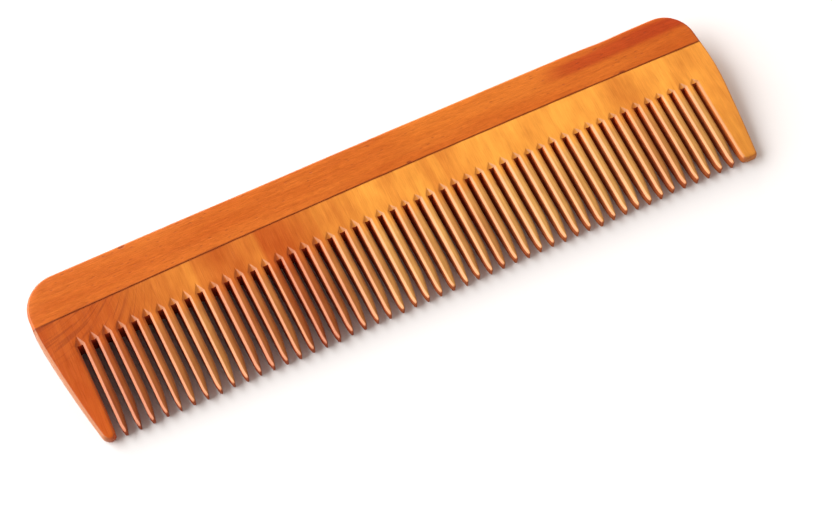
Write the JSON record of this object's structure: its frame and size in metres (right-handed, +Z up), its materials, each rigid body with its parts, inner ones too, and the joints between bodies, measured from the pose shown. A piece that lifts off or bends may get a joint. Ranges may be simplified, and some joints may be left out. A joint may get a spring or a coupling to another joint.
{
  "type": "wooden comb",
  "caption": "Straight wooden hair comb with one row of even pointed teeth between two wide guard teeth, and a rounded spine glued on as a separate board.",
  "frame": {"origin": "centre of the comb's box on the surface that it lies on", "axes": "+X along the length with the wider guard tooth's end at +X, +Y from the tips towards the spine, +Z up from the surface, through the thickness"},
  "size_m": [0.1854, 0.046, 0.0091],
  "materials": {
    "spine_wood": "satin",
    "tooth_wood": "satin",
    "glue": "matte"
  },
  "bodies": {
    "root": {"spine_board": "spine_wood", "glue_line": "glue", "tooth_board": "tooth_wood"}
  },
  "joints": []
}
